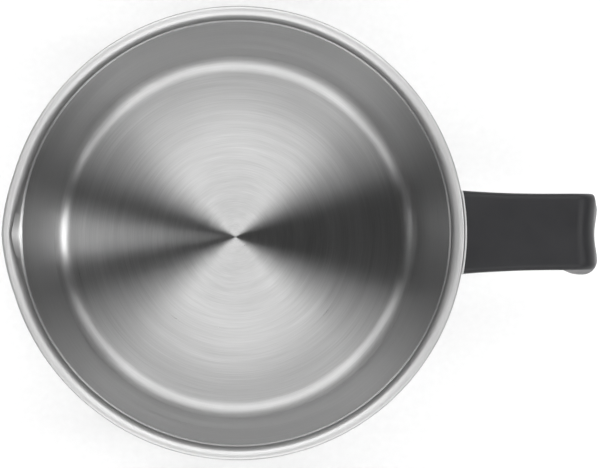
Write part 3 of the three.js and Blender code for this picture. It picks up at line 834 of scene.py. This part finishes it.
def make_tube_fittings():
    """The filler tube, and the washer, gasket and slotted nut on its end."""
    thread = TUBE_RADIUS + CLEARANCE
    tube = washer(TUBE_BORE, TUBE_RADIUS, TUBE_LOW.x, TUBE_HIGH.x)
    finish("steam_tube", tube, "pot", fitting_steel, ["filler_tube"])
    flat = washer(thread, WASHER_HIGH.y, WASHER_LOW.x, WASHER_HIGH.x)
    finish("nut_washer", flat, "pot", fitting_steel, ["seat_washer"])
    gasket = washer(GASKET_BORE, GASKET_HIGH.y, GASKET_LOW.x, GASKET_HIGH.x, edge=TURNED)
    finish("nut_gasket", gasket, "pot", seal_silicone, ["tube_gasket"])

    shoulder = NUT_HIGH.x - NUT_LIP
    outline = [
        (thread, NUT_LOW.x, TURNED),
        (NUT_HIGH.y, NUT_LOW.x, NUT_EDGE),
        (NUT_HIGH.y, NUT_HIGH.x, NUT_CREST),
        (TUBE_BORE, NUT_HIGH.x, NUT_EDGE),
        (TUBE_BORE, shoulder, TURNED),
        (thread, shoulder, TURNED),
    ]
    nut = turned_on_tube(rounded(outline, TURNED_STEPS, closed=True), closed=True)
    notch = block((NOTCH_DEPTH, 3 * NUT_HIGH.y, NOTCH_WIDTH), (NUT_HIGH.x, 0, TUBE_Z))
    bm = carved(nut, ("DIFFERENCE", notch))
    finish("seat_nut", bm, "pot", fitting_steel, ["seat_ring"])


# ---- whistle plug ----

def make_plug():
    """The plug: a bored stem with two seals, and a head whose back follows the handle's."""
    seals = [sum(corners(node), Vector()).x / 2 for node in ("plug_seal_inner", "plug_seal_outer")]
    groove = SEAL_SECTION + CLEARANCE
    floor = STEM_RADIUS - GROOVE_DEPTH
    far = HEAD_START + HEAD_BLANK
    outline = [(PLUG_BORE, PLUG_LOW.x, BROKEN), (STEM_RADIUS, PLUG_LOW.x, STEM_TIP)]
    for x in seals:
        outline += [(STEM_RADIUS, x - groove, TURNED), (floor, x - groove, TURNED),
                    (floor, x + groove, TURNED), (STEM_RADIUS, x + groove, TURNED)]
    outline += [
        (STEM_RADIUS, HEAD_START, 0),
        (HEAD_RADIUS, HEAD_START, HEAD_EDGE),
        (HEAD_RADIUS, far, 0),
        (STEAM_RADIUS, far, 0),
        (STEAM_RADIUS, PLUG_BORE_END, BROKEN),
        (PLUG_BORE, PLUG_BORE_END, TURNED),
    ]
    stem = turned_on_tube(rounded(outline, TURNED_STEPS, closed=True), closed=True)
    depth = RIB_HEIGHT + RIB_ROOT
    rib = onto_back(block((depth, RIB_WIDTH, 2 * HEAD_RADIUS), (RIB_HEIGHT - depth / 2, 0, 0)))
    shape = carved(handle_blank(), ("UNION", rib))
    cuts = []
    for side in (-1, 1):
        y = side * (RIB_WIDTH + SLOT_WIDTH) / 2
        slot = block((2 * SLOT_DEPTH, SLOT_WIDTH, SLOT_LENGTH), (0, y, 0))
        cuts.append(("DIFFERENCE", onto_back(slot)))
    bm = carved(stem, ("INTERSECT", shape), *cuts)
    finish("whistle_plug", bm, "plug", plug_black, ["plug_body"],
           edge=PLUG_EDGE)

    for node, x in zip(("plug_seal_inner", "plug_seal_outer"), seals):
        circle = [(SEAL_RADIUS + SEAL_SECTION * math.cos(turn), x + SEAL_SECTION * math.sin(turn))
                  for turn in [math.radians(angle) for angle in range(0, 360, 30)]]
        name = node.replace("plug_seal", "stem_ring")
        ring = turned_on_tube(circle, closed=True)
        finish(name, ring, "plug", seal_silicone, [node])


def make_whistle():
    """The whistle in the stem: two bored plates, the ring between them and a clip ring."""
    for node, name, bore in (
        ("whistle_outer_plate", "whistle_plate_outer", PLATE_BORE),
        ("whistle_spacer", "whistle_distance_ring", SPACER_BORE),
        ("whistle_inner_plate", "whistle_plate_inner", PLATE_BORE),
        ("whistle_retainer", "whistle_clip_ring", SPACER_BORE),
    ):
        low, high = corners(node)
        ring = washer(bore, high.y, low.x, high.x, edge=0.08)
        finish(name, ring, "plug", fitting_steel, [node])


make_liner()
make_jacket()
make_base_cap()
make_handle()
make_saddle()
make_studs()
make_tube_fittings()
make_plug()
make_whistle()

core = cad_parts["base_core"]
core.data.materials.clear()
core.data.materials.append(core_aluminium)


# ---- floor ----

FLOOR_HALF = 6                   # metres
FIBRE = 3                        # millimetres


def make_floor():
    """A large sheet of matt white paper that the pot stands on, faintly cloudy."""
    material, tree = new_material("paper_pale_floor")
    place = add_node(tree, "ShaderNodeTexCoord").outputs["Object"]
    fibres = add_node(tree, "ShaderNodeTexNoise", [
        ("Vector", place), ("Scale", 1 / (FIBRE * MM)), ("Detail", 3.0),
    ]).outputs["Fac"]
    finish_material(tree, [
        ("Base Color", mix_colours(tree, blend_range(tree, fibres, 0.0, 1.0), "F6F6F6", "FAFAFA")),
        ("Roughness", 0.9),
        ("Specular IOR Level", 0.2),
    ])
    bm = bmesh.new()
    bmesh.ops.create_grid(bm, x_segments=8, y_segments=8, size=FLOOR_HALF)
    mesh = bpy.data.meshes.new("floor")
    bm.to_mesh(mesh)
    bm.free()
    mesh.materials.append(material)
    floor = bpy.data.objects.new("floor", mesh)
    bpy.context.scene.collection.objects.link(floor)


make_floor()


# ---- light ----

def softbox(name, centre, aim, size, radiance):
    """A rectangular lamp facing a point. Its radiance is what a mirror would show."""
    lamp = bpy.data.lights.new(name, "AREA")
    lamp.shape = "RECTANGLE"
    lamp.size, lamp.size_y = size
    lamp.energy = radiance * math.pi * size[0] * size[1]
    holder = bpy.data.objects.new(name, lamp)
    bpy.context.scene.collection.objects.link(holder)
    holder.location = centre
    holder.rotation_euler = (Vector(aim) - Vector(centre)).to_track_quat("-Z", "Y").to_euler()
    holder.visible_camera = False


LAMP_HEIGHT = 1.15               # metres
# Overhead panels on both sides of the pot, which leave a dark gap over the X axis.
# Each is a name, x from and to, y from and to in metres, and a radiance.
PANELS = (
    ("panel_inner", -0.35, 0.35, 0.20, 0.28, 3.0),
    ("panel_middle", -0.35, 0.35, 0.28, 0.45, 3.7),
    ("panel_outer", -0.9, 0.9, 0.70, 1.10, 1.7),
    ("panel_far", -1.8, 1.8, 1.10, 2.00, 3.8),
    ("panel_right_inner", 0.35, 0.9, 0.28, 0.45, 2.0),
    ("panel_left_inner", -0.9, -0.35, 0.28, 0.45, 2.4),
    ("panel_right", 0.35, 1.3, 0.45, 0.70, 1.6),
    ("panel_left", -1.3, -0.35, 0.45, 0.70, 1.6),
)
for name, x_from, x_to, y_from, y_to, radiance in PANELS:
    size = (x_to - x_from, y_to - y_from)
    for side_name, side in (("near", -1), ("far", 1)):
        centre = ((x_from + x_to) / 2, side * (y_from + y_to) / 2)
        softbox(f"{name}_{side_name}", (*centre, LAMP_HEIGHT), (*centre, 0), size, radiance)
# The strip in the gap lights the left half of the bowl's floor. The window, low on the left,
# faintly lights what faces it, such as the bowl's right wall.
STRIP_X, STRIP_SIZE, STRIP_RADIANCE = 1.22, (0.76, 0.27), 8.5
WINDOW_X, WINDOW_HEIGHT, WINDOW_SIZE, WINDOW_RADIANCE = -2.6, 1.4, (0.8, 1.0), 1.5
softbox("strip_right", (STRIP_X, 0, LAMP_HEIGHT), (STRIP_X, 0, 0), STRIP_SIZE, STRIP_RADIANCE)
softbox("window_left", (WINDOW_X, 0, WINDOW_HEIGHT), (0, 0, WINDOW_HEIGHT),
        WINDOW_SIZE, WINDOW_RADIANCE)


HORIZON_END, SKY_START = 0.12, 0.22   # height on a sphere of radius 1
HORIZON_GLOW = 0.65


def make_sky():
    """Soft surroundings: pale at the horizon, dark overhead."""
    world = bpy.data.worlds.new("studio_tent")
    world.use_nodes = True
    tree = world.node_tree
    tree.nodes.clear()
    direction = add_node(tree, "ShaderNodeTexCoord").outputs["Generated"]
    up = add_node(tree, "ShaderNodeSeparateXYZ", [(0, direction)]).outputs["Z"]
    level = map_range(tree, up, HORIZON_END, SKY_START, HORIZON_GLOW, 0.0,
                      interpolation_type="SMOOTHSTEP")
    glow = add_node(tree, "ShaderNodeBackground",
                    [("Color", linear("FFFFFF")), ("Strength", level)])
    add_node(tree, "ShaderNodeOutputWorld", [("Surface", glow.outputs[0])])
    bpy.context.scene.world = world


make_sky()


# ---- camera ----

EYE = (-0.0069, -0.0108, TOP * MM + 0.700)   # metres
ROLL = math.radians(-0.24)
SENSOR, LENS = 36, 112.4         # millimetres
SHIFT = (0.134, 0.0467)
NEAR, FAR = 0.01, 50             # metres


def make_camera():
    """Looks straight down from 0.7 m above the rim. The shift only centres the view."""
    camera = bpy.data.objects.new("camera", bpy.data.cameras.new("camera"))
    camera.location = EYE
    camera.rotation_euler = (0, 0, ROLL)
    camera.data.sensor_width = SENSOR
    camera.data.lens = LENS
    camera.data.shift_x, camera.data.shift_y = SHIFT
    camera.data.clip_start = NEAR
    camera.data.clip_end = FAR
    bpy.context.scene.collection.objects.link(camera)
    bpy.context.scene.camera = camera


make_camera()
bpy.context.scene.view_settings.view_transform = "Standard"
